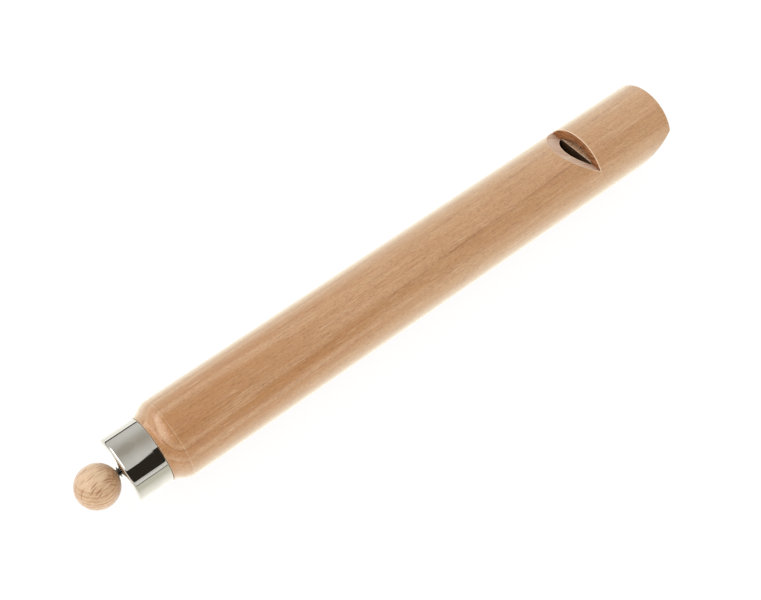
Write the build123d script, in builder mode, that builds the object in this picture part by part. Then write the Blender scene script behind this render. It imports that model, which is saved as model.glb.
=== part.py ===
from build123d import *
import os
from math import radians, tan

# Slide whistle: a turned wooden barrel with a fipple head, a metal-capped tail and a plunger.
# Millimetres. +X runs along the bore from the tail to the mouth, +Z is up through the window.
# The origin is on the bore axis, where the barrel meets the shoulder of its tail.

# Barrel and bore
barrel_diameter = 29.0
barrel_length = 216.8
bore_diameter = 21.2
bore_end = 8.0
guide_hole_clearance = 0.08
mouth_round = 0.7

# Shoulder: a round crown that runs out in a small cove beside the cap
shoulder_length = 6.1
crown_radius = 9.5
cove_length = 2.0
cove_rise = 0.67
shoulder_proud = 0.2

# Drawn metal cap on the tail's tenon
cap_diameter = 23.7
cap_length = 13.0
cap_sheet = 0.5
cap_round = 1.0
cap_hole_diameter = 4.0
cap_seat_clearance = 0.03
tenon_end_clearance = 0.2
tenon_chamfer = 0.8

# Head: a saw cut square to the axis, a flat ramp up to the barrel, a block and a beak
head_length = 35.6
window_floor_height = 6.6
ramp_angle = 34.9
windway_exit_height = 7.3
windway_entry_height = 6.4
lip_thickness = 1.3
beak_angle = 41.9
block_clearance = 0.02
cut_overrun = 2.0

# Plunger: rod and ball knob
rod_diameter = 2.4
rod_tip_chamfer = 0.3
knob_diameter = 15.0
knob_gap = 0.6
knob_hole_depth = 9.5
knob_hole_clearance = 0.02
piston_rest_gap = 8.6

# Piston: soft packing that floats between two washers, each held by a nut on the rod
thread_end = 1.5
nut_flats = 5.0
nut_height = 2.0
nut_clearance = 0.02
washer_diameter = 16.0
washer_thickness = 0.8
washer_clearance = 0.1
packing_float = 0.15
packing_bore_clearance = 0.08
leather_thickness = 2.4
leather_fit = 0.08
felt_thickness = 10.0
felt_fit = 0.3

# Felt ring that stops the piston at the blind end of the bore
stop_thickness = 2.5
stop_edge_clearance = 0.3
stop_rod_clearance = 0.3

# Radii
barrel_radius = barrel_diameter / 2
bore_radius = bore_diameter / 2
cap_radius = cap_diameter / 2
cap_inner_radius = cap_radius - cap_sheet
cap_hole_radius = cap_hole_diameter / 2
tenon_radius = cap_inner_radius - cap_seat_clearance
shoulder_end_radius = cap_radius + shoulder_proud
cove_radius = shoulder_end_radius + cove_rise
rod_radius = rod_diameter / 2
knob_radius = knob_diameter / 2

# Places along the axis, from the mouth to the knob
window_x = barrel_length - head_length
ramp_slope = tan(radians(ramp_angle))
labium_x = window_x - (bore_radius - window_floor_height) / ramp_slope
cap_open_x = -shoulder_length
cap_end_x = cap_open_x - cap_length
tenon_end_x = cap_end_x + cap_sheet + tenon_end_clearance
cove_x = cove_length - shoulder_length
knob_face_x = cap_end_x - knob_gap
knob_x = knob_face_x - knob_radius
rod_tail_x = knob_face_x - knob_hole_depth
rod_tip_x = labium_x - piston_rest_gap

# Places of the piston's stack, from the rod's tip towards the knob
front_nut_x = rod_tip_x - thread_end - nut_height
front_washer_x = front_nut_x - washer_thickness
leather_x = front_washer_x - packing_float - leather_thickness
felt_x = leather_x - felt_thickness
rear_washer_x = felt_x - packing_float - washer_thickness
rear_nut_x = rear_washer_x - nut_height

# Heights of the head's cuts above the axis
cut_top = barrel_radius + cut_overrun
beak_start_height = windway_entry_height - lip_thickness
beak_run = (beak_start_height + cut_top) / tan(radians(beak_angle))

os.makedirs("parts", exist_ok=True)

# Side view of the window cut: the saw cut's wall and the ramp
with BuildSketch(Plane.XZ) as window_cut:
    with BuildLine():
        Polyline(
            (window_x, window_floor_height),
            (window_x, cut_top),
            (window_x - (cut_top - window_floor_height) / ramp_slope, cut_top),
            close=True,
        )
    make_face()

# Side view of the beak cut: everything below a slope that ends under the mouth's lip
with BuildSketch(Plane.XZ) as beak_cut:
    with BuildLine():
        Polyline(
            (barrel_length, beak_start_height),
            (barrel_length - beak_run, -cut_top),
            (barrel_length + cut_overrun, -cut_top),
            (barrel_length + cut_overrun, beak_start_height),
            close=True,
        )
    make_face()

# Barrel: turned outside with its shoulder and tenon, bored blind from the mouth
with BuildPart() as barrel:
    with BuildSketch(Plane.XY):
        with BuildLine():
            crown = RadiusArc((0, barrel_radius), (cove_x, cove_radius), -crown_radius)
            cove = TangentArc(crown @ 1, (cap_open_x, shoulder_end_radius), tangent=crown % 1)
            Polyline(
                cove @ 1,
                (cap_open_x, tenon_radius),
                (tenon_end_x + tenon_chamfer, tenon_radius),
                (tenon_end_x, tenon_radius - tenon_chamfer),
                (tenon_end_x, 0),
                (barrel_length, 0),
                (barrel_length, barrel_radius),
                (0, barrel_radius),
            )
        make_face()
    revolve(axis=Axis.X)
    with BuildSketch(Plane.YZ.offset(bore_end)):
        Circle(bore_radius)
    extrude(amount=barrel_length - bore_end, mode=Mode.SUBTRACT)
    with BuildSketch(Plane.YZ.offset(tenon_end_x)):
        Circle(rod_radius + guide_hole_clearance)
    extrude(amount=bore_end - tenon_end_x, mode=Mode.SUBTRACT)
    extrude(to_extrude=window_cut.sketch, amount=cut_top, both=True, mode=Mode.SUBTRACT)
    extrude(to_extrude=beak_cut.sketch, amount=cut_top, both=True, mode=Mode.SUBTRACT)
    mouth_face = barrel.faces().filter_by(Axis.X).sort_by(Axis.X)[-1]
    fillet(mouth_face.edges().filter_by(GeomType.CIRCLE).sort_by(SortBy.RADIUS)[-1], mouth_round)
barrel.part.label = "barrel"
export_step(barrel.part, "parts/barrel.step")

# Fipple block: a plug in the head whose planed top is the floor of the windway
with BuildPart() as fipple_block:
    with BuildSketch(Plane.YZ.offset(window_x)):
        Circle(bore_radius - block_clearance)
    extrude(amount=head_length)
    with BuildSketch(Plane.XZ):
        with BuildLine():
            Polyline(
                (window_x, windway_exit_height),
                (barrel_length, windway_entry_height),
                (barrel_length, bore_radius),
                (window_x, bore_radius),
                close=True,
            )
        make_face()
    extrude(amount=bore_radius, both=True, mode=Mode.SUBTRACT)
    extrude(to_extrude=beak_cut.sketch, amount=cut_top, both=True, mode=Mode.SUBTRACT)
fipple_block.part.label = "fipple_block"
export_step(fipple_block.part, "parts/fipple_block.step")

# End cap: a drawn cup with a rounded edge and a hole for the rod
with BuildPart() as end_cap:
    with BuildSketch(Plane.XY):
        with BuildLine():
            Polyline(
                (cap_open_x, cap_inner_radius),
                (cap_open_x, cap_radius),
                (cap_end_x, cap_radius),
                (cap_end_x, cap_hole_radius),
                (cap_end_x + cap_sheet, cap_hole_radius),
                (cap_end_x + cap_sheet, cap_inner_radius),
                close=True,
            )
        make_face()
    revolve(axis=Axis.X)
    end_face = end_cap.faces().filter_by(Axis.X).sort_by(Axis.X)[0]
    fillet(end_face.edges().sort_by(SortBy.RADIUS)[-1], cap_round)
    inner_face = end_cap.faces().filter_by(Axis.X).sort_by(Axis.X)[1]
    chamfer(inner_face.edges().sort_by(SortBy.RADIUS)[-1], cap_round - cap_sheet)
end_cap.part.label = "end_cap"
export_step(end_cap.part, "parts/end_cap.step")

# Stop felt: a ring against the bore's blind end
with BuildPart() as stop_felt:
    with BuildSketch(Plane.YZ.offset(bore_end)):
        Circle(bore_radius - stop_edge_clearance)
        Circle(rod_radius + stop_rod_clearance, mode=Mode.SUBTRACT)
    extrude(amount=stop_thickness)
stop_felt.part.label = "stop_felt"
export_step(stop_felt.part, "parts/stop_felt.step")

# Slide rod: drawn wire from the knob's hole to just past the front nut
with BuildPart() as slide_rod:
    with BuildSketch(Plane.YZ.offset(rod_tail_x)):
        Circle(rod_radius)
    extrude(amount=rod_tip_x - rod_tail_x)
    chamfer(slide_rod.edges().filter_by(GeomType.CIRCLE), rod_tip_chamfer)
slide_rod.part.label = "slide_rod"
export_step(slide_rod.part, "parts/slide_rod.step")

# Knob: a turned ball with a blind hole for the rod
with BuildPart() as knob:
    with Locations((knob_x, 0, 0)):
        Sphere(knob_radius)
    with BuildSketch(Plane.YZ.offset(rod_tail_x)):
        Circle(rod_radius + knob_hole_clearance)
    extrude(amount=knob_hole_depth, mode=Mode.SUBTRACT)
knob.part.label = "knob"
export_step(knob.part, "parts/knob.step")

# Nuts: one in front of the piston and one behind it
for name, nut_x in (("front_nut", front_nut_x), ("rear_nut", rear_nut_x)):
    with BuildPart() as nut:
        with BuildSketch(Plane.YZ.offset(nut_x)):
            RegularPolygon(nut_flats / 2, side_count=6, major_radius=False)
            Circle(rod_radius + nut_clearance, mode=Mode.SUBTRACT)
        extrude(amount=nut_height)
    nut.part.label = name
    export_step(nut.part, f"parts/{name}.step")

# Washers: they hold the packing between them with a little end float
for name, washer_x in (("front_washer", front_washer_x), ("rear_washer", rear_washer_x)):
    with BuildPart() as washer:
        with BuildSketch(Plane.YZ.offset(washer_x)):
            Circle(washer_diameter / 2)
            Circle(rod_radius + washer_clearance, mode=Mode.SUBTRACT)
        extrude(amount=washer_thickness)
    washer.part.label = name
    export_step(washer.part, f"parts/{name}.step")

# Packing: a leather disc that seals in the bore, backed by a thick felt
packing = (
    ("piston_leather", leather_x, leather_thickness, leather_fit),
    ("piston_felt", felt_x, felt_thickness, felt_fit),
)
for name, disc_x, thickness, fit in packing:
    with BuildPart() as disc:
        with BuildSketch(Plane.YZ.offset(disc_x)):
            Circle(bore_radius - fit)
            Circle(rod_radius + packing_bore_clearance, mode=Mode.SUBTRACT)
        extrude(amount=thickness)
    disc.part.label = name
    export_step(disc.part, f"parts/{name}.step")
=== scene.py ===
import math

import bmesh
import bpy
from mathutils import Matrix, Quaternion, Vector, noise


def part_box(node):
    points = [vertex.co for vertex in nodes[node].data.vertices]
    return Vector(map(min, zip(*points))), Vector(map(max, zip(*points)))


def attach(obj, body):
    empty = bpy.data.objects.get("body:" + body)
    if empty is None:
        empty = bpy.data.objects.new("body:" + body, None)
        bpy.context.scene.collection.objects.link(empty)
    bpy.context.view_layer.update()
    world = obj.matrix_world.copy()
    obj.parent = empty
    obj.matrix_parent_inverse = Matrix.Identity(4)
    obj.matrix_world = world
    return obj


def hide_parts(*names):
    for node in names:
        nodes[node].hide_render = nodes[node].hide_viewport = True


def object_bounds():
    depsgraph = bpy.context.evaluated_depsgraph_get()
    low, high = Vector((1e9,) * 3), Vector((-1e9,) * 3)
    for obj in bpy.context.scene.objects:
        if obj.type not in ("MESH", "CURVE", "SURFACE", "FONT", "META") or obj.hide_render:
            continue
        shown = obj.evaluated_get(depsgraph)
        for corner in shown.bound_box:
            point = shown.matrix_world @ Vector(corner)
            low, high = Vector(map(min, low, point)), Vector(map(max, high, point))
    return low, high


# Slide whistle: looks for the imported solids, in metres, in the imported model's own frame.
# +X runs along the bore from the tail to the mouth, +Z is up through the window.

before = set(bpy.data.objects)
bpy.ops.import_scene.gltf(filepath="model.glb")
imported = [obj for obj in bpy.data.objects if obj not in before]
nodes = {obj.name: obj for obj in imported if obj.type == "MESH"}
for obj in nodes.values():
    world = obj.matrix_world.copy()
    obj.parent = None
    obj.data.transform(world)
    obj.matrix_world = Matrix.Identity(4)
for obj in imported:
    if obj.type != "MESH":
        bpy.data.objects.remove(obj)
cad_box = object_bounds()

MM = 0.001
DEGREE = math.radians(1)
WHITE = (1.0, 1.0, 1.0, 1.0)

# Camera at the photograph's viewing angle
CAMERA_PLACE = Vector((-72.2, -223.8, 366.6)) * MM
CAMERA_AIM = Vector((87.0, -1.5, 0.0)) * MM
CAMERA_ROLL = math.radians(-4.21)
CAMERA_LENS = 62.52
CAMERA_SENSOR = 36.0
CAMERA_CLIP_START = 0.01

# Light tent for matt surfaces: brighter behind the object and to its left.
# Places on the tent are parts of a direction, from -1 to 1.
TENT_GLOW = 1.02
BACK_GLOW = 0.5
BACK_FROM, BACK_TO = 0.55, 0.95
LEFT_GLOW = 0.35
LEFT_FROM, LEFT_TO = 0.1, -0.8

# Table: white to the camera with a soft shadow, and a glow for matt surfaces
FLOOR_SIZE = 4.0
FLOOR_COLOUR = (0.9, 0.9, 0.9, 1.0)
FLOOR_WHITE = 1.04
FLOOR_SHADOW_SHARE = 0.13
FLOOR_GLOW = 1.3

# Table in a mirror: toned towards its front, then a dark line and a pale strip
TABLE_FRONT_TONE = (0.66, 0.65, 0.58, 1.0)
TABLE_NEAR_TONE = (1.24, 1.23, 1.21, 1.0)
TABLE_BACK_TONE = (1.08, 1.08, 1.06, 1.0)
TABLE_FRONT_Y, TABLE_NEAR_Y = -40 * MM, -12 * MM
TABLE_BEHIND_Y, TABLE_BACK_Y = 15 * MM, 70 * MM
TABLE_FALL = 1.2
LINE_TONE = (0.10, 0.10, 0.09, 1.0)
LINE_Y = -92 * MM
STRIP_TONE = (0.8, 0.8, 0.8, 1.0)
STRIP_Y = -116 * MM
LINE_BLUR = 1 * MM

# Tent in a mirror: a panel with a dip and paler sides, a lamp, and an open dark front.
# Angles turn about X, from +Y upwards.
PANEL_TONE = (0.68, 0.68, 0.68, 1.0)
PANEL_START = 6.0 * DEGREE
PANEL_END_LEFT, PANEL_END_RIGHT = 132.8 * DEGREE, 124.0 * DEGREE
PANEL_STEP_FROM, PANEL_STEP_TO = 0.138, 0.157
DIP_TONE = (0.45, 0.42, 0.39, 1.0)
DIP_ANGLE, DIP_REACH = 74 * DEGREE, 50 * DEGREE
SIDE_TONE = (0.8, 0.8, 0.8, 1.0)
SIDE_FROM, SIDE_TO = 0.42, 0.66
LAMP_TONE = (3.6, 3.6, 3.6, 1.0)
LAMP_ACROSS = Vector((0.738, -0.275, 0.616))
LAMP_ALONG = Vector((-0.505, 0.22, 0.835))
LAMP_EDGE, LAMP_CORE = 0.34, 0.08
LAMP_FROM, LAMP_TO = 0.72, 0.88
OPENING_TONE = (0.027, 0.023, 0.018, 1.0)
FOOT_ANGLE = 177.0 * DEGREE
ANGLE_BLUR = 0.5 * DEGREE

# Places from the boxes of the solids
_, BARREL_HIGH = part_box("barrel")
BLOCK_LOW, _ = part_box("fipple_block")
CAP_LOW, CAP_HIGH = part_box("end_cap")
KNOB_LOW, KNOB_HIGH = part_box("knob")
BARREL_RADIUS = BARREL_HIGH.z
WINDOW_X = BLOCK_LOW.x
KNOB_MIDDLE_X = (KNOB_LOW.x + KNOB_HIGH.x) / 2

# Measures of the solids that no box gives
BORE_RADIUS = 10.6 * MM
WINDOW_FLOOR = 6.6 * MM
RAMP_ANGLE = math.radians(34.9)
BEAK_ANGLE = math.radians(41.9)
ARRIS_X = 0.0
CAP_SHEET = 0.5 * MM
CAP_ROUND = 1.0 * MM
CAP_HOLE = 2.0 * MM

# Between these lie most of the values of a noise, and of two noises added up
NOISE_SPREAD = (0.3, 0.7)
TWO_NOISE_SPREAD = (0.7, 1.3)

# Growth rings. Pairs in millimetres are the length and width of marks along the grain.
YEAR_SEED = 7.0
RING_BEND_MM = (30, 8)
RING_FADE_MM = (34, 3)
RING_START, RING_DARKEST = 0.86, 0.97
RING_FAINTEST, RING_FULL = 0.15, 1.0

# Pear: years, marks along the grain, and how much each kind of mark shades the wood
PEAR_YEAR_MM, PEAR_WANDER_MM = 2.6, 0.9
CLOUD_MM, CLOUD_SHADE = (26, 3.4), (-0.10, 0.28)
STREAK_MM, STREAK_SHADE = (26, 0.8), (-0.05, 0.12)
MOTTLE_MM, MOTTLE_SHADE = (3.0, 0.9), (-0.05, 0.10)
FINE_MM, FINE_SHADE = (1.2, 0.26), (-0.20, 0.42)
FIBRE_MM, FIBRE_SHADE = (14, 0.34), (0.0, 0.30)
RED_LINE_MM, RED_LINE_SHADE = (18, 0.5), (0.0, 0.40)
LIGHT_LINE_MM, LIGHT_LINE_SHADE = (9, 0.5), (0.0, 0.30)
FIBRE_RELIEF = 0.6
PEAR_SHEEN_TINT = (1.0, 0.97, 0.77, 1.0)

# Pear's seasons: faint in the inner years and towards the head, with a darker tail and crown
INNER_YEAR, OUTER_YEAR = -1.7, -0.6
SEASON_FAINT, SEASON_CLEAR, SEASON_STRONG = 0.22, 1.0, 1.15
SEASON_STRONG_X, SEASON_FAINT_X = 25 * MM, 110 * MM
LATE_FROM, LATE_FULL, LATE_DROP = 0.10, 0.80, 0.88
LATE_WOOD_SHARE = (0.42, 0.52)
SPRING_FULL, SPRING_END, SPRING_SHARE = 0.12, 0.50, 0.16
TAIL_X, TAIL_END_X, TAIL_SHADE = 15 * MM, 95 * MM, 0.48
BODY_X, CROWN_X = 6 * MM, -1 * MM
BODY_LINE_SHADE, CROWN_LINE_SHADE = 0.42, 0.85

# Beech: years, lean of the grain, rays and fibres, and painted shade at the end towards the rod
BEECH_FIRST_MM, BEECH_YEAR_MM, BEECH_WANDER_MM = 20.3, 1.3, 0.7
BEECH_LEAN = (0.06, -0.10)
RAY_LENGTH, RAY_WIDTH, RAY_DEPTH = 5.5 * MM, 0.50 * MM, 5.0 * MM
RAY_EDGE, RAY_CORE = 0.46, 0.20
RAY_CHOICE = (0.42, 0.48)
RAY_FACING = (0.20, 0.50)
RAY_SHADE = 0.80
BEECH_FIBRE_MM, BEECH_FIBRE_SHADE = (3, 0.26), (-0.08, 0.30)
BEECH_MOTTLE_MM, BEECH_MOTTLE_SHADE = (5, 1.6), (-0.12, 0.16)
BEECH_YEAR_SHADE, BEECH_LINE_SHADE = 0.58, 0.60
BEECH_RING_FACING, BEECH_RING_LEAST = (0.86, 0.60), 0.05
ROD_SHADE_FROM = KNOB_MIDDLE_X + 1.5 * MM
ROD_SHADE_SHARE = 0.42

# Worn edges of the window and the shoulder, painted paler as highlights too: how wide they are and how much
# paler they get
WALL_RIM = 0.42 * MM
RAMP_RIM = 0.30 * MM
RAMP_RIM_TOP, RAMP_RIM_LOW, RAMP_RIM_WEAR_AND_HIGHLIGHT = 11.0 * MM, 8.0 * MM, 0.35
RAMP_SKIN = 0.1 * MM
LIP_RIM, LIP_RIM_CORE = 0.45 * MM, 0.2 * MM
OUTSIDE_DEPTH, OUTSIDE_CORE = 0.5 * MM, 0.2 * MM
WALL_BLUR, FLOOR_BLUR = 0.1 * MM, 0.2 * MM
RIM_WEAR_AND_HIGHLIGHT = 0.75
ARRIS_WIDTH = 0.20 * MM
ARRIS_BREAKS_PER_METRE = 1300
ARRIS_WEAR_AND_HIGHLIGHT = (0.10, 0.45)

# Faint darker oval on the cap
MARK_X = -14.8 * MM
MARK_TURN = math.radians(97.5)
MARK_LENGTH = 6.4 * MM
MARK_WIDTH = 3.8 * MM
MARK_EDGE = (1.05, 0.9)
MARK_MIDDLE = 0.6
MARK_SHADE = 0.10

# How closely a face has to match the rule that picks its finish
PLACE_TOLERANCE = 0.05 * MM
BORE_TOLERANCE = 0.02 * MM
TILT_TOLERANCE = 0.05
SQUARE_ON = 0.9
BEAK_DOWN, BEAK_FORWARD = -0.5, 0.4

# Broken edges and joined faces of the solids
FACE_GAP_MM = 0.001
KNOB_GAP_MM = 0.01
COPLANAR_ANGLE = math.radians(0.4)
EDGE_ANGLE = math.radians(28)
BARREL_EDGE_MM = 0.25
BLOCK_EDGE_MM = 0.15
SMALL_EDGE_MM = 0.12

# Steps of the modelled meshes
CAP_SEGMENTS = 192
CAP_LIP_STEPS, CAP_SIDE_STEPS, CAP_END_STEPS = 10, 6, 5
CAP_CORNER_STEPS, CAP_INNER_CORNER_STEPS = 14, 6
PACKING_SEGMENTS = 120
PACKING_CORNER_STEPS, PACKING_SIDE_STEPS = 6, 9


def srgb(red, green, blue):
    """A colour as it is seen, 0 to 255, as the linear values that shaders take."""
    def linear(value):
        share = value / 255
        return share / 12.92 if share <= 0.04045 else ((share + 0.055) / 1.055) ** 2.4
    return (linear(red), linear(green), linear(blue), 1.0)


def darker(colour, share):
    """A colour at this share of its brightness."""
    return tuple(share * part for part in colour[:3]) + (1.0,)


class Graph:
    """Builds one node tree. Each method adds a node and returns the output that later nodes use."""

    def __init__(self, tree):
        self.tree = tree
        tree.nodes.clear()

    def add(self, kind, inputs=None, **settings):
        made = self.tree.nodes.new(kind)
        for name, value in settings.items():
            setattr(made, name, value)
        for name, value in (inputs or {}).items():
            self.put(made.inputs[name], value)
        return made

    def put(self, socket, value):
        if isinstance(value, bpy.types.NodeSocket):
            self.tree.links.new(value, socket)
        else:
            socket.default_value = value

    def math(self, operation, first, second=0.0, clamp=False):
        inputs = {0: first, 1: second}
        return self.add("ShaderNodeMath", inputs, operation=operation, use_clamp=clamp).outputs[0]

    def same(self, first, second, tolerance):
        """1 where two values differ by no more than the tolerance."""
        inputs = {0: first, 1: second, 2: tolerance}
        return self.add("ShaderNodeMath", inputs, operation="COMPARE").outputs[0]

    def object_point(self):
        return self.add("ShaderNodeTexCoord").outputs["Object"]

    def object_normal(self):
        return self.add("ShaderNodeTexCoord").outputs["Normal"]

    def parts(self, vector):
        return self.add("ShaderNodeSeparateXYZ", {"Vector": vector}).outputs

    def joined(self, x, y, z):
        return self.add("ShaderNodeCombineXYZ", {0: x, 1: y, 2: z}).outputs[0]

    def stretch(self, vector, scale, turn=(0, 0, 0), shift=(0, 0, 0)):
        inputs = {"Vector": vector, "Scale": scale, "Rotation": turn, "Location": shift}
        return self.add("ShaderNodeMapping", inputs).outputs[0]

    def noise(self, vector, detail=3.0, roughness=0.5):
        inputs = {"Vector": vector, "Scale": 1.0, "Detail": detail, "Roughness": roughness}
        return self.add("ShaderNodeTexNoise", inputs).outputs["Fac"]

    def ramp(self, value, low, high, to_low=0.0, to_high=1.0, smooth=True):
        limits = {"From Min": low, "From Max": high, "To Min": to_low, "To Max": to_high}
        kind = "SMOOTHSTEP" if smooth else "LINEAR"
        made = self.add("ShaderNodeMapRange", limits, interpolation_type=kind)
        self.put(made.inputs["Value"], value)
        return made.outputs[0]

    def mix(self, share, first, second):
        made = self.add("ShaderNodeMix", data_type="RGBA")
        self.put(made.inputs[0], share)
        self.put(made.inputs[6], first)
        self.put(made.inputs[7], second)
        return made.outputs[2]

    def bump(self, height, strength, distance):
        inputs = {"Height": height, "Strength": strength, "Distance": distance}
        return self.add("ShaderNodeBump", inputs).outputs[0]


def new_material(name):
    material = bpy.data.materials.new(name)
    material.use_nodes = True
    return material, Graph(material.node_tree)


def surface(g, **inputs):
    """Ends a material with one Principled shader. Keys are its socket names, with _ for a space."""
    sockets = {key.replace("_", " "): value for key, value in inputs.items()}
    shader = g.add("ShaderNodeBsdfPrincipled", sockets).outputs[0]
    g.add("ShaderNodeOutputMaterial", {"Surface": shader})


def drawn(g, point, length_mm, width_mm, shift=0.0):
    """Noise drawn out along the grain: marks of about this length and width."""
    scale = (1 / (length_mm * MM), 1 / (width_mm * MM), 1 / (width_mm * MM))
    return g.noise(g.stretch(point, scale, shift=(shift, shift, shift)), detail=2.0)


def mottled(g, point, per_metre, detail=2.0, roughness=0.5):
    """Noise that is even in all directions, with about this many marks to the metre."""
    scale = (per_metre, per_metre, per_metre)
    return g.noise(g.stretch(point, scale), detail=detail, roughness=roughness)


def leaning(g, point, slope_y, slope_z):
    """The point in the wood's own frame, whose fibres lean by these slopes along X."""
    x, y, z = g.parts(point)
    across = g.math("SUBTRACT", y, g.math("MULTIPLY", x, slope_y))
    up = g.math("SUBTRACT", z, g.math("MULTIPLY", x, slope_z))
    return g.joined(x, across, up)


def reach(g, y, z, centre_mm=(0.0, 0.0)):
    """Distance from a line along X."""
    across = g.math("POWER", g.math("SUBTRACT", y, centre_mm[0] * MM), 2.0)
    up = g.math("POWER", g.math("SUBTRACT", z, centre_mm[1] * MM), 2.0)
    return g.math("SQRT", g.math("ADD", across, up))


def along(g, parts, axis):
    """How far a vector reaches along an axis: its parts, each times the axis's own, added up."""
    shares = [g.math("MULTIPLY", part, weight) for part, weight in zip(parts, axis)]
    total = shares[0]
    for share in shares[1:]:
        total = g.math("ADD", total, share)
    return total


def all_of(g, *shares):
    """The product of shares: 1 only where all of them are 1."""
    product = shares[0]
    for share in shares[1:]:
        product = g.math("MULTIPLY", product, share)
    return product


def near(g, value, centre, width, core=0.35):
    """1 within a core share of this width from a place, falling to 0 at the width."""
    return g.ramp(g.math("ABSOLUTE", g.math("SUBTRACT", value, centre)), width, core * width)


def year_rings(g, grain, pith_mm, first_mm, spacing_mm, wander_mm):
    """Place within a year's growth from 0 to 1, the line that ends it, its strength and its count."""
    _, y, z = g.parts(grain)
    bend = g.math("SUBTRACT", drawn(g, grain, *RING_BEND_MM), 0.5)
    radius = g.math("ADD", reach(g, y, z, pith_mm), g.math("MULTIPLY", bend, wander_mm * MM))
    year = g.math("DIVIDE", g.math("SUBTRACT", radius, first_mm * MM), spacing_mm * MM)
    phase = g.math("FRACT", year)
    number = g.math("ADD", g.math("FLOOR", year), YEAR_SEED)
    draw = g.add("ShaderNodeTexWhiteNoise", {"W": number}, noise_dimensions="1D")
    strength = draw.outputs["Value"]
    rise = g.ramp(phase, RING_START, RING_DARKEST)
    fall = g.ramp(phase, 1.0, RING_DARKEST)
    fade = g.ramp(drawn(g, grain, *RING_FADE_MM, shift=3.1), 0.34, 0.66)
    line = all_of(g, rise, fall, fade, g.ramp(strength, 0.1, 0.9, RING_FAINTEST, RING_FULL))
    return phase, line, strength, year


def rim_wear_and_highlight(g, point):
    """Where the cut edges of the window, and the arris of the shoulder, are paler: partly wear, partly a
    painted highlight.
    """
    x, y, z = g.parts(point)
    radius = reach(g, y, z)
    slope = math.tan(RAMP_ANGLE)
    ramp_height = g.math("ADD", g.math("MULTIPLY", x, slope), z)
    above_ramp = g.math("SUBTRACT", ramp_height, WINDOW_FLOOR + WINDOW_X * slope)
    outside = g.ramp(radius, BARREL_RADIUS - OUTSIDE_DEPTH, BARREL_RADIUS - OUTSIDE_CORE)
    behind_wall = g.ramp(x, WINDOW_X + WALL_BLUR, WINDOW_X)
    above_floor = g.ramp(z, WINDOW_FLOOR - FLOOR_BLUR, WINDOW_FLOOR)
    wall_rim = all_of(g, near(g, x, WINDOW_X, WALL_RIM), outside, above_floor)
    low_side = g.ramp(z, RAMP_RIM_TOP, RAMP_RIM_LOW, 0.0, RAMP_RIM_WEAR_AND_HIGHLIGHT)
    at_ramp = near(g, above_ramp, 0.0, RAMP_RIM)
    ramp_rim = all_of(g, at_ramp, outside, behind_wall, above_floor, low_side)
    on_ramp = all_of(g, near(g, above_ramp, 0.0, RAMP_SKIN), behind_wall, above_floor)
    at_lip = g.ramp(radius, BORE_RADIUS + LIP_RIM, BORE_RADIUS + LIP_RIM_CORE)
    lip_rim = all_of(g, on_ramp, at_lip)
    rims = g.math("MAXIMUM", wall_rim, g.math("MAXIMUM", ramp_rim, lip_rim))
    broken = g.ramp(mottled(g, point, ARRIS_BREAKS_PER_METRE), 0.40, 0.60, *ARRIS_WEAR_AND_HIGHLIGHT)
    arris = all_of(g, near(g, x, ARRIS_X, ARRIS_WIDTH), broken)
    return g.math("MAXIMUM", g.math("MULTIPLY", rims, RIM_WEAR_AND_HIGHLIGHT), arris)


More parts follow.
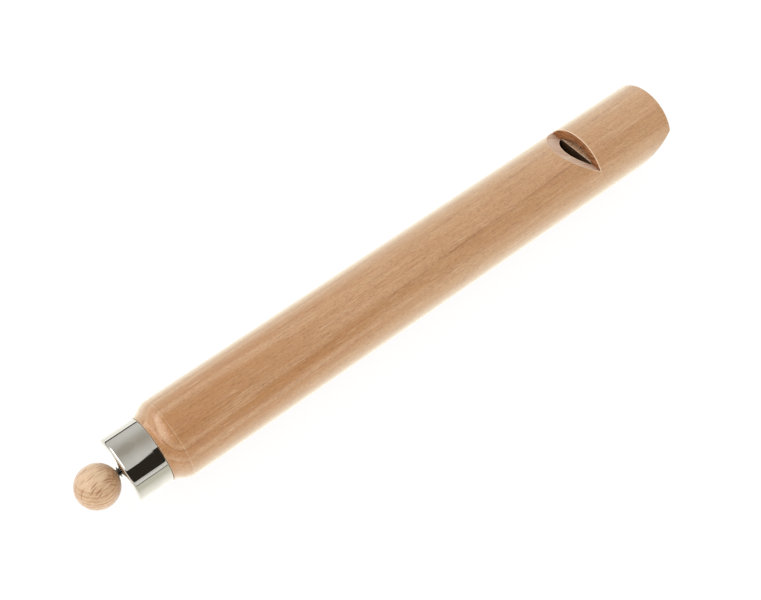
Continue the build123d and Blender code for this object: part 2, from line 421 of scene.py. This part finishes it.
def pear_wood(name, early, late, line, red, pale, pith_mm, first_mm, lean, fibre_lean, rims=False):
    """Steamed pear: close peach-coloured wood with soft seasons, thin year lines and fine grain."""
    material, g = new_material(name)
    point = g.object_point()
    x = g.parts(point)[0]
    grain = leaning(g, point, *lean)
    thread = leaning(g, point, *fibre_lean)
    phase, year_line, strength, year = year_rings(
        g, grain, pith_mm, first_mm, PEAR_YEAR_MM, PEAR_WANDER_MM,
    )
    cloud = drawn(g, thread, *CLOUD_MM, shift=8.9)
    streaks = drawn(g, thread, *STREAK_MM, shift=15.2)
    mottle = drawn(g, thread, *MOTTLE_MM, shift=1.7)
    fine = drawn(g, thread, *FINE_MM, shift=5.3)
    fibres = drawn(g, thread, *FIBRE_MM, shift=12.4)
    red_lines = drawn(g, thread, *RED_LINE_MM, shift=33.0)
    light_lines = drawn(g, thread, *LIGHT_LINE_MM, shift=21.0)

    in_outer_years = g.ramp(year, INNER_YEAR, OUTER_YEAR, SEASON_FAINT, SEASON_CLEAR)
    by_tail = g.ramp(x, SEASON_STRONG_X, SEASON_FAINT_X, SEASON_STRONG, SEASON_FAINT)
    clear = all_of(g, in_outer_years, by_tail)
    late_rise, late_fall = g.ramp(phase, LATE_FROM, LATE_FULL), g.ramp(phase, 1.0, LATE_DROP)
    late_share = g.ramp(strength, 0.0, 1.0, *LATE_WOOD_SHARE)
    season = all_of(g, late_rise, late_fall, late_share, clear)
    band = g.math("ADD", season, g.ramp(cloud, *NOISE_SPREAD, *CLOUD_SHADE))
    band = g.math("ADD", band, g.ramp(x, TAIL_END_X, TAIL_X, 0.0, TAIL_SHADE), clamp=True)
    colour = g.mix(band, early, late)
    spring_rise = g.ramp(phase, 0.0, SPRING_FULL)
    spring_fall = g.ramp(phase, SPRING_END, SPRING_FULL, 0.0, SPRING_SHARE)
    spring = all_of(g, spring_rise, spring_fall, clear)
    colour = g.mix(spring, colour, pale)

    line_shade = g.ramp(x, BODY_X, CROWN_X, BODY_LINE_SHADE, CROWN_LINE_SHADE)
    depth = g.math("MULTIPLY", year_line, line_shade)
    depth = g.math("ADD", depth, g.ramp(mottle, 0.3, 0.75, *MOTTLE_SHADE))
    depth = g.math("ADD", depth, g.ramp(streaks, 0.35, 0.75, *STREAK_SHADE))
    depth = g.math("ADD", depth, g.ramp(fine, 0.3, 0.75, *FINE_SHADE))
    depth = g.math("ADD", depth, g.ramp(fibres, 0.45, 0.80, *FIBRE_SHADE), clamp=True)
    colour = g.mix(depth, colour, line)
    colour = g.mix(g.ramp(red_lines, 0.52, 0.76, *RED_LINE_SHADE), colour, red)
    colour = g.mix(g.ramp(light_lines, 0.55, 0.78, *LIGHT_LINE_SHADE), colour, pale)
    # Paler rims: partly wear, partly painted highlights on the window's edges and the shoulder's arris
    if rims:
        colour = g.mix(rim_wear_and_highlight(g, point), colour, pale)

    relief = g.math("ADD", g.math("MULTIPLY", fibres, FIBRE_RELIEF), g.math("ADD", mottle, fine))
    surface(
        g,
        Base_Color=colour,
        Roughness=g.ramp(fine, *NOISE_SPREAD, to_low=0.42, to_high=0.54),
        Normal=g.bump(relief, strength=0.18, distance=0.05 * MM),
        Coat_Weight=1.0,
        Coat_Roughness=0.25,
        Sheen_Weight=0.95,
        Sheen_Roughness=0.50,
        Sheen_Tint=PEAR_SHEEN_TINT,
    )
    return material


def cut_wood(name, light, dark, line_scale, turn=(0, 0, 0), rim=None):
    """Bare cut wood: no varnish, lines of the saw or of the fibres, and pale rims where asked for."""
    material, g = new_material(name)
    point = g.object_point()
    turned_point = g.stretch(point, (1, 1, 1), turn=turn)
    lines = g.noise(g.stretch(turned_point, line_scale), detail=3.0, roughness=0.6)
    cloud = mottled(g, point, per_metre=260)
    colour = g.mix(g.ramp(lines, 0.38, 0.62), light, dark)
    colour = g.mix(g.ramp(cloud, 0.35, 0.7, to_high=0.35), colour, light)
    # Paler rims: partly wear, partly painted highlights on the window's edges
    if rim is not None:
        colour = g.mix(rim_wear_and_highlight(g, point), colour, rim)
    surface(
        g,
        Base_Color=colour,
        Roughness=g.ramp(lines, *NOISE_SPREAD, to_low=0.62, to_high=0.8),
        Normal=g.bump(lines, strength=0.3, distance=0.06 * MM),
        Specular_IOR_Level=0.3,
    )
    return material


def beech_wood(name, light, dark, fleck, pith_mm, growth):
    """Beech: pale wood with thin rings, and rays that show as dashes on the faces across its growth."""
    material, g = new_material(name)
    point = g.object_point()
    grain = leaning(g, point, *BEECH_LEAN)
    phase, year_line, _, _ = year_rings(
        g, grain, pith_mm, BEECH_FIRST_MM, BEECH_YEAR_MM, BEECH_WANDER_MM,
    )
    fibres = drawn(g, grain, *BEECH_FIBRE_MM)
    mottle = drawn(g, grain, *BEECH_MOTTLE_MM, shift=4.4)

    x, y, z = g.parts(grain)
    outward = along(g, (y, z), growth)
    sideways = along(g, (z, y), (growth[0], -growth[1]))
    cell_scale = (1 / RAY_LENGTH, 1 / RAY_WIDTH, 1 / RAY_DEPTH)
    cells = g.stretch(g.joined(x, sideways, outward), cell_scale)
    spots = g.add("ShaderNodeTexVoronoi", {"Vector": cells, "Scale": 1.0}).outputs
    chosen = g.ramp(g.parts(spots["Color"])[0], *RAY_CHOICE)
    _, facing_y, facing_z = g.parts(g.object_normal())
    across = g.math("ABSOLUTE", along(g, (facing_y, facing_z), growth))
    dashes = g.ramp(spots["Distance"], RAY_EDGE, RAY_CORE)
    rays = all_of(g, dashes, chosen, g.ramp(across, *RAY_FACING))

    year_shade = g.math("MULTIPLY", phase, BEECH_YEAR_SHADE)
    depth = g.math("ADD", year_shade, g.math("MULTIPLY", year_line, BEECH_LINE_SHADE))
    depth = g.math("MULTIPLY", depth, g.ramp(across, *BEECH_RING_FACING, to_low=BEECH_RING_LEAST))
    depth = g.math("ADD", depth, g.ramp(mottle, *NOISE_SPREAD, *BEECH_MOTTLE_SHADE))
    depth = g.math("ADD", depth, g.ramp(fibres, *NOISE_SPREAD, *BEECH_FIBRE_SHADE), clamp=True)
    colour = g.mix(depth, light, dark)
    # Painted shade: the knob darkens towards the rod, where the cap keeps light off it
    rod_shade = g.ramp(g.parts(point)[0], ROD_SHADE_FROM, KNOB_HIGH.x, to_high=ROD_SHADE_SHARE)
    colour = g.mix(rod_shade, colour, dark)
    colour = g.mix(g.math("MULTIPLY", rays, RAY_SHADE), colour, fleck)
    surface(
        g,
        Base_Color=colour,
        Roughness=g.ramp(fibres, *NOISE_SPREAD, to_low=0.42, to_high=0.58),
        Normal=g.bump(g.math("SUBTRACT", fibres, rays), strength=0.3, distance=0.06 * MM),
        Coat_Weight=0.5,
        Coat_Roughness=0.35,
        Sheen_Weight=0.3,
        Sheen_Roughness=0.35,
    )
    return material


def pale_edge(name, colour):
    """Worn wood on a cut edge: the finish is thin there, and the wood is painted lighter as a highlight on
    the edge.
    """
    material, g = new_material(name)
    edge_mottle = mottled(g, g.object_point(), per_metre=900)
    surface(
        g,
        Base_Color=g.mix(g.ramp(edge_mottle, 0.35, 0.65), colour, darker(colour, 0.78)),
        Roughness=g.ramp(edge_mottle, *NOISE_SPREAD, to_low=0.45, to_high=0.62),
        Normal=g.bump(edge_mottle, strength=0.2, distance=0.03 * MM),
    )
    return material


def brown_oval(g, point):
    """A faint darker, brownish oval on the cap's upper side."""
    x, y, z = g.parts(point)
    around = along(g, (y, z), (math.sin(MARK_TURN), -math.cos(MARK_TURN)))
    outward = along(g, (y, z), (math.cos(MARK_TURN), math.sin(MARK_TURN)))
    length = g.math("POWER", g.math("DIVIDE", g.math("SUBTRACT", x, MARK_X), MARK_LENGTH / 2), 2.0)
    width = g.math("POWER", g.math("DIVIDE", around, MARK_WIDTH / 2), 2.0)
    oval = g.math("SQRT", g.math("ADD", length, width))
    on_this_side = g.math("GREATER_THAN", outward, 0.0)
    return all_of(g, g.ramp(oval, *MARK_EDGE), g.ramp(oval, 0.0, 1.0, to_low=MARK_MIDDLE), on_this_side)


def plate(name, colour, roughness, line_scale, mark=None):
    """Bright metal with faint drawing lines, a little haze and very fine scratches."""
    material, g = new_material(name)
    point = g.object_point()
    haze = mottled(g, point, per_metre=220, detail=3.0)
    lines = g.noise(g.stretch(point, line_scale), detail=2.0)
    tint = g.mix(g.ramp(haze, *NOISE_SPREAD), colour, darker(colour, 0.93))
    if mark is not None:
        tint = g.mix(g.math("MULTIPLY", brown_oval(g, point), MARK_SHADE), tint, mark)
    surface(
        g,
        Base_Color=tint,
        Metallic=1.0,
        Roughness=g.ramp(g.math("ADD", haze, lines), *TWO_NOISE_SPREAD, *roughness),
        Normal=g.bump(lines, strength=0.04, distance=0.01 * MM),
    )
    return material


def fibre(name, pale, dark, grain):
    """Pressed felt or leather: soft mottling, a nap and no gloss."""
    material, g = new_material(name)
    point = g.object_point()
    mottle = mottled(g, point, grain, detail=4.0, roughness=0.6)
    nap = mottled(g, point, 5 * grain)
    colour = g.mix(g.ramp(mottle, *NOISE_SPREAD), pale, dark)
    colour = g.mix(g.ramp(nap, 0.55, 0.75, to_high=0.4), colour, pale)
    surface(
        g,
        Base_Color=colour,
        Roughness=g.ramp(nap, *NOISE_SPREAD, to_low=0.75, to_high=0.95),
        Normal=g.bump(g.math("ADD", mottle, nap), strength=0.6, distance=0.15 * MM),
    )
    return material


def dress(node, material):
    """Gives a solid its finish."""
    slots = nodes[node].data.materials
    slots.clear()
    slots.append(material)


def refinish(node, *finishes):
    """Gives faces their own finish. A rule picks them by their normal and place."""
    tree = bpy.data.node_groups.new(node + "_finishes", "GeometryNodeTree")
    tree.interface.new_socket(name="Geometry", in_out="INPUT", socket_type="NodeSocketGeometry")
    tree.interface.new_socket(name="Geometry", in_out="OUTPUT", socket_type="NodeSocketGeometry")
    g = Graph(tree)
    shape = g.add("NodeGroupInput").outputs[0]
    normal = g.parts(g.add("GeometryNodeInputNormal").outputs[0])
    place = g.parts(g.add("GeometryNodeInputPosition").outputs[0])
    for rule, material in finishes:
        inputs = {"Geometry": shape, "Selection": rule(g, normal, place), "Material": material}
        shape = g.add("GeometryNodeSetMaterial", inputs).outputs[0]
    output = g.add("NodeGroupOutput")
    tree.links.new(shape, output.inputs[0])
    nodes[node].modifiers.new("finishes", "NODES").node_group = tree


def window_wall(g, normal, place):
    at_wall = g.same(place[0], WINDOW_X, PLACE_TOLERANCE)
    return all_of(g, at_wall, g.math("LESS_THAN", normal[0], -SQUARE_ON))


def planed_top(g, normal, place):
    return g.math("GREATER_THAN", normal[2], SQUARE_ON)


def ramp_face(g, normal, place):
    leaning_back = g.same(normal[0], math.sin(RAMP_ANGLE), TILT_TOLERANCE)
    return all_of(g, leaning_back, g.math("GREATER_THAN", place[2], WINDOW_FLOOR))


def beak_face(g, normal, place):
    facing_down = g.math("LESS_THAN", normal[2], BEAK_DOWN)
    return all_of(g, facing_down, g.math("GREATER_THAN", normal[0], BEAK_FORWARD))


def bore_face(g, normal, place):
    return g.math("LESS_THAN", reach(g, place[1], place[2]), BORE_RADIUS + BORE_TOLERANCE)


def join_faces(node, gap_mm):
    """Joins the faces of a solid, which come apart along its edges."""
    weld = nodes[node].modifiers.new("weld", "WELD")
    weld.merge_threshold = gap_mm * MM


def soften(node, width_mm, edge_material=None):
    """Breaks the sharp edges of a solid by a narrow bevel, with its own finish where one is given."""
    join_faces(node, FACE_GAP_MM)
    solid = nodes[node]
    flat = solid.modifiers.new("coplanar", "DECIMATE")
    flat.decimate_type = "DISSOLVE"
    flat.angle_limit = COPLANAR_ANGLE
    bevel = solid.modifiers.new("edges", "BEVEL")
    bevel.width = width_mm * MM
    bevel.segments = 2
    bevel.limit_method = "ANGLE"
    bevel.angle_limit = EDGE_ANGLE
    if edge_material is not None:
        solid.data.materials.append(edge_material)
        bevel.material = 1
    solid.modifiers.new("shading", "WEIGHTED_NORMAL")


def arc(centre, radius, start, stop, steps):
    """Points (x, r) along part of a circle in a profile, angles in degrees from +x towards +r."""
    angles = [math.radians(start + (stop - start) * step / steps) for step in range(steps + 1)]
    return [(centre[0] + radius * math.cos(a), centre[1] + radius * math.sin(a)) for a in angles]


def even(start, stop, steps):
    """Points between two profile points, without the ends."""
    run, rise = stop[0] - start[0], stop[1] - start[1]
    shares = [step / steps for step in range(1, steps)]
    return [(start[0] + run * share, start[1] + rise * share) for share in shares]


def turned(name, profile, segments, uneven_mm=0.0, lump_mm=1.0):
    """A closed mesh turned about the X axis, with a surface that sinks by up to uneven_mm."""
    count = len(profile)
    middle = Vector((sum(x for x, _ in profile) / count, 0, 0))
    points = []
    for segment in range(segments):
        angle = 2 * math.pi * segment / segments
        for x, r in profile:
            place = Vector((x, r * math.cos(angle), r * math.sin(angle)))
            sink = uneven_mm * MM * (0.5 + 0.5 * noise.noise(place / (lump_mm * MM)))
            points.append(place + (middle - place).normalized() * sink)
    faces = []
    for segment in range(segments):
        here, there = segment * count, (segment + 1) % segments * count
        for first in range(count):
            second = (first + 1) % count
            faces.append((here + first, here + second, there + second, there + first))
    mesh = bpy.data.meshes.new(name)
    mesh.from_pydata(points, [], faces)
    shape = bmesh.new()
    shape.from_mesh(mesh)
    bmesh.ops.recalc_face_normals(shape, faces=shape.faces)
    shape.to_mesh(mesh)
    shape.free()
    mesh.shade_smooth()
    piece = bpy.data.objects.new(name, mesh)
    bpy.context.scene.collection.objects.link(piece)
    return piece


def rounded_ring(low, high, hole, edge):
    """Profile of a ring between two places along X, with soft outer and inner edges."""
    outer, x0, x1 = high.z, low.x, high.x
    corners = (
        arc((x1 - edge, outer - edge), edge, 0, 90, PACKING_CORNER_STEPS),
        arc((x0 + edge, outer - edge), edge, 90, 180, PACKING_CORNER_STEPS),
        arc((x0 + edge, hole + edge), edge, 180, 270, PACKING_CORNER_STEPS),
        arc((x1 - edge, hole + edge), edge, 270, 360, PACKING_CORNER_STEPS),
    )
    profile = []
    for corner, following in zip(corners, corners[1:] + corners[:1]):
        profile += corner + even(corner[-1], following[0], PACKING_SIDE_STEPS)
    return profile


def drawn_cap():
    """The cap: sheet drawn into a cup, with a turned-in lip and a broken edge round the rod's hole."""
    outer = CAP_HIGH.z
    inner = outer - CAP_SHEET
    mouth, end = CAP_HIGH.x, CAP_LOW.x
    half_sheet = CAP_SHEET / 2
    inner_round = CAP_ROUND - CAP_SHEET
    corner = (end + CAP_ROUND, outer - CAP_ROUND)
    profile = arc((mouth - CAP_SHEET, inner), CAP_SHEET, 0, 90, CAP_LIP_STEPS)
    profile += even(profile[-1], (end + CAP_ROUND, outer), CAP_SIDE_STEPS)
    profile += arc(corner, CAP_ROUND, 90, 180, CAP_CORNER_STEPS)
    profile += even(profile[-1], (end, CAP_HOLE + half_sheet), CAP_END_STEPS)
    profile += arc((end + half_sheet, CAP_HOLE + half_sheet), half_sheet, 180, 360, CAP_LIP_STEPS)
    profile += even(profile[-1], (end + CAP_SHEET, inner - inner_round), CAP_END_STEPS)
    profile += arc(corner, inner_round, 180, 90, CAP_INNER_CORNER_STEPS)
    profile += even(profile[-1], profile[0], CAP_SIDE_STEPS)
    return turned("cap_shell", profile, CAP_SEGMENTS)


def packing(name, node, hole_mm, edge_mm, uneven_mm, lump_mm):
    """A ring of leather or felt with soft edges and a slightly uneven face."""
    low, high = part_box(node)
    profile = rounded_ring(low, high, hole_mm * MM, edge_mm * MM)
    return turned(name, profile, PACKING_SEGMENTS, uneven_mm, lump_mm)


def stand_for(piece, node, body, material):
    """A modelled piece takes the place of a solid and moves with its body."""
    piece.data.materials.append(material)
    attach(piece, body)
    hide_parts(node)


def ray_kinds(g):
    """1 for rays that come by way of a mirror, and 1 for rays straight from the camera or through glass."""
    path = g.add("ShaderNodeLightPath").outputs
    seen = g.math("ADD", path["Is Camera Ray"], path["Is Transmission Ray"], clamp=True)
    return path["Is Glossy Ray"], seen


def studio_floor():
    """A pale table: white to the camera with the object's shadow, toned in a mirror."""
    mesh = bpy.data.meshes.new("floor")
    half = FLOOR_SIZE / 2
    z = cad_box[0].z
    corners = [(-half, -half, z), (half, -half, z), (half, half, z), (-half, half, z)]
    mesh.from_pydata(corners, [], [(0, 1, 2, 3)])
    floor = bpy.data.objects.new("floor", mesh)
    bpy.context.scene.collection.objects.link(floor)
    material, g = new_material("floor")
    y = g.parts(g.object_point())[1]
    from_front = g.ramp(y, TABLE_FRONT_Y, TABLE_NEAR_Y, smooth=False)
    tone = g.mix(g.math("POWER", from_front, TABLE_FALL), TABLE_FRONT_TONE, TABLE_NEAR_TONE)
    tone = g.mix(g.ramp(y, TABLE_BEHIND_Y, TABLE_BACK_Y), tone, TABLE_BACK_TONE)
    tone = g.mix(g.ramp(y, LINE_Y + LINE_BLUR, LINE_Y - LINE_BLUR), tone, LINE_TONE)
    tone = g.mix(g.ramp(y, STRIP_Y + LINE_BLUR, STRIP_Y - LINE_BLUR), tone, STRIP_TONE)
    mirrored = g.add("ShaderNodeEmission", {"Color": tone}).outputs[0]
    glow = g.add("ShaderNodeEmission", {"Strength": FLOOR_GLOW}).outputs[0]
    white = g.add("ShaderNodeEmission", {"Strength": FLOOR_WHITE}).outputs[0]
    table = g.add("ShaderNodeBsdfDiffuse", {"Color": FLOOR_COLOUR}).outputs[0]
    shown = g.add("ShaderNodeMixShader", {0: FLOOR_SHADOW_SHARE, 1: white, 2: table}).outputs[0]
    in_mirror, seen = ray_kinds(g)
    light = g.add("ShaderNodeMixShader", {0: in_mirror, 1: glow, 2: mirrored}).outputs[0]
    light = g.add("ShaderNodeMixShader", {0: seen, 1: light, 2: shown}).outputs[0]
    g.add("ShaderNodeOutputMaterial", {"Surface": light})
    mesh.materials.append(material)


def studio_world():
    """A light tent: soft for matt surfaces, white to the camera, with a dark open front in a mirror."""
    world = bpy.data.worlds.new("studio")
    world.use_nodes = True
    bpy.context.scene.world = world
    g = Graph(world.node_tree)
    x, y, z = direction = g.parts(g.add("ShaderNodeTexCoord").outputs["Generated"])
    angle = g.math("ARCTAN2", z, y)
    end = g.ramp(x, PANEL_STEP_FROM, PANEL_STEP_TO, PANEL_END_LEFT, PANEL_END_RIGHT, smooth=False)
    before_end = g.ramp(g.math("SUBTRACT", angle, end), ANGLE_BLUR, -ANGLE_BLUR)
    on_panel = all_of(g, before_end, g.ramp(angle, PANEL_START - ANGLE_BLUR, PANEL_START + ANGLE_BLUR))
    from_dip = g.math("ABSOLUTE", g.math("SUBTRACT", angle, DIP_ANGLE))
    panel = g.mix(g.ramp(from_dip, 0.0, DIP_REACH), DIP_TONE, PANEL_TONE)
    panel = g.mix(g.ramp(g.math("ABSOLUTE", x), SIDE_FROM, SIDE_TO), panel, SIDE_TONE)
    off_lamp = g.math("ABSOLUTE", along(g, direction, LAMP_ACROSS))
    up_lamp = g.ramp(along(g, direction, LAMP_ALONG), LAMP_FROM, LAMP_TO)
    panel = g.mix(all_of(g, g.ramp(off_lamp, LAMP_EDGE, LAMP_CORE), up_lamp), panel, LAMP_TONE)
    mirrored = g.mix(on_panel, OPENING_TONE, panel)
    at_foot = g.ramp(angle, FOOT_ANGLE - ANGLE_BLUR, FOOT_ANGLE + ANGLE_BLUR)
    mirrored = g.mix(at_foot, mirrored, STRIP_TONE)
    tent = g.ramp(y, BACK_FROM, BACK_TO, TENT_GLOW, TENT_GLOW + BACK_GLOW)
    tent = g.math("ADD", tent, g.ramp(x, LEFT_FROM, LEFT_TO, 0.0, LEFT_GLOW))
    in_mirror, seen = ray_kinds(g)
    light = g.mix(in_mirror, g.joined(tent, tent, tent), mirrored)
    light = g.mix(seen, light, WHITE)
    background = g.add("ShaderNodeBackground", {"Color": light}).outputs[0]
    g.add("ShaderNodeOutputWorld", {"Surface": background})


def studio_camera():
    """The camera stands where the photograph was taken from."""
    camera = bpy.data.objects.new("camera", bpy.data.cameras.new("camera"))
    bpy.context.scene.collection.objects.link(camera)
    camera.location = CAMERA_PLACE
    level = (CAMERA_AIM - CAMERA_PLACE).to_track_quat("-Z", "Y")
    camera.rotation_mode = "QUATERNION"
    camera.rotation_quaternion = level @ Quaternion((0, 0, 1), CAMERA_ROLL)
    camera.data.lens = CAMERA_LENS
    camera.data.sensor_width = CAMERA_SENSOR
    camera.data.clip_start = CAMERA_CLIP_START
    bpy.context.scene.camera = camera


# Finishes of the woods
pear = pear_wood(
    "pear",
    early=srgb(190, 142, 93),
    late=srgb(179, 122, 62),
    line=srgb(138, 80, 38),
    red=srgb(182, 110, 58),
    pale=srgb(230, 200, 166),
    pith_mm=(21.9, -50.8),
    first_mm=68.03,
    lean=(-0.070, -0.0136),
    fibre_lean=(-0.012, 0.0),
    rims=True,
)
block_wood = pear_wood(
    "block_wood",
    early=srgb(191, 148, 108),
    late=srgb(174, 127, 84),
    line=srgb(132, 84, 48),
    red=srgb(178, 112, 72),
    pale=srgb(236, 208, 178),
    pith_mm=(-30.0, -20.0),
    first_mm=36.0,
    lean=(0.02, 0.03),
    fibre_lean=(0.02, 0.03),
)
beech = beech_wood(
    "beech",
    light=srgb(217, 186, 150),
    dark=srgb(172, 120, 72),
    fleck=srgb(148, 88, 42),
    pith_mm=(-2.6, -21.8),
    growth=(0.12, 0.99),
)
sawn_pear = cut_wood(
    "sawn_pear",
    light=srgb(190, 130, 84),
    dark=srgb(92, 52, 28),
    line_scale=(1, 260, 2400),
    turn=(0.12, 0, 0),
    rim=srgb(242, 214, 184),
)
ramp_pear = cut_wood(
    "ramp_pear",
    light=srgb(210, 183, 162),
    dark=srgb(190, 153, 126),
    line_scale=(90, 1900, 1900),
    turn=(0, -RAMP_ANGLE, 0),
    rim=srgb(242, 214, 184),
)
# Painted shade: the bore and the block's front face lie in shadow inside the tube and get a near-black
# brown; end grain there is darker too
shaded_bore_pear = cut_wood(
    "shaded_bore_pear", light=srgb(112, 78, 52), dark=srgb(72, 48, 30), line_scale=(90, 2400, 2400),
)
# Planed top of the block: made paler than the wood to paint the light that falls on it through the window
planed_pear_painted_light = cut_wood(
    "planed_pear_painted_light", light=srgb(242, 196, 156), dark=srgb(206, 150, 108), line_scale=(90, 2200, 2200),
)
beak_pear = cut_wood(
    "beak_pear",
    light=srgb(194, 148, 106),
    dark=srgb(172, 120, 76),
    line_scale=(70, 2400, 900),
    turn=(0, BEAK_ANGLE, 0),
)
beak_block = cut_wood(
    "beak_block",
    light=srgb(188, 140, 100),
    dark=srgb(164, 112, 72),
    line_scale=(90, 1900, 700),
    turn=(0, BEAK_ANGLE, 0.3),
)
# Broken edges: worn, and painted paler as a highlight
worn_highlight_wood = pale_edge("worn_highlight_wood", srgb(240, 214, 188))

# Finishes of the metals and the packing
nickel = plate(
    "nickel", srgb(227, 224, 214), roughness=(0.02, 0.06), line_scale=(60, 2500, 2500),
    mark=srgb(120, 98, 58),
)
steel = plate("steel", srgb(88, 84, 80), roughness=(0.14, 0.30), line_scale=(40, 4000, 4000))
brass = plate("brass", srgb(206, 176, 104), roughness=(0.16, 0.32), line_scale=(2000, 300, 300))
leather = fibre("leather", pale=srgb(150, 96, 60), dark=srgb(104, 62, 38), grain=900)
felt = fibre("felt", pale=srgb(216, 208, 196), dark=srgb(180, 170, 156), grain=1500)

# Solids that are shown as they are, with their finishes and broken edges
dress("barrel", pear)
dress("fipple_block", block_wood)
dress("knob", beech)
for name in ("slide_rod", "front_washer", "rear_washer"):
    dress(name, steel)
for name in ("front_nut", "rear_nut"):
    dress(name, brass)
# The bore and the block's front face get a near-black brown that paints their shade
refinish(
    "barrel",
    (window_wall, sawn_pear),
    (ramp_face, ramp_pear),
    (bore_face, shaded_bore_pear),
    (beak_face, beak_pear),
)
refinish(
    "fipple_block",
    (window_wall, shaded_bore_pear),
    (planed_top, planed_pear_painted_light),
    (beak_face, beak_block),
)
soften("barrel", BARREL_EDGE_MM, worn_highlight_wood)
soften("fipple_block", BLOCK_EDGE_MM, worn_highlight_wood)
for name in ("front_washer", "rear_washer", "front_nut", "rear_nut"):
    soften(name, SMALL_EDGE_MM)
join_faces("knob", KNOB_GAP_MM)

# Pieces that stand for solids: the drawn cap and the soft packing
stand_for(drawn_cap(), "end_cap", "whistle", nickel)
leather_disc = packing(
    "leather_disc", "piston_leather", hole_mm=1.28, edge_mm=0.6, uneven_mm=0.06, lump_mm=1.6,
)
stand_for(leather_disc, "piston_leather", "piston", leather)
felt_pad = packing(
    "felt_pad", "piston_felt", hole_mm=1.28, edge_mm=0.8, uneven_mm=0.16, lump_mm=0.9,
)
stand_for(felt_pad, "piston_felt", "piston", felt)
stop_ring = packing(
    "stop_ring", "stop_felt", hole_mm=1.5, edge_mm=0.6, uneven_mm=0.12, lump_mm=0.9,
)
stand_for(stop_ring, "stop_felt", "whistle", felt)

studio_floor()
studio_world()
studio_camera()
bpy.context.scene.view_settings.view_transform = "Standard"
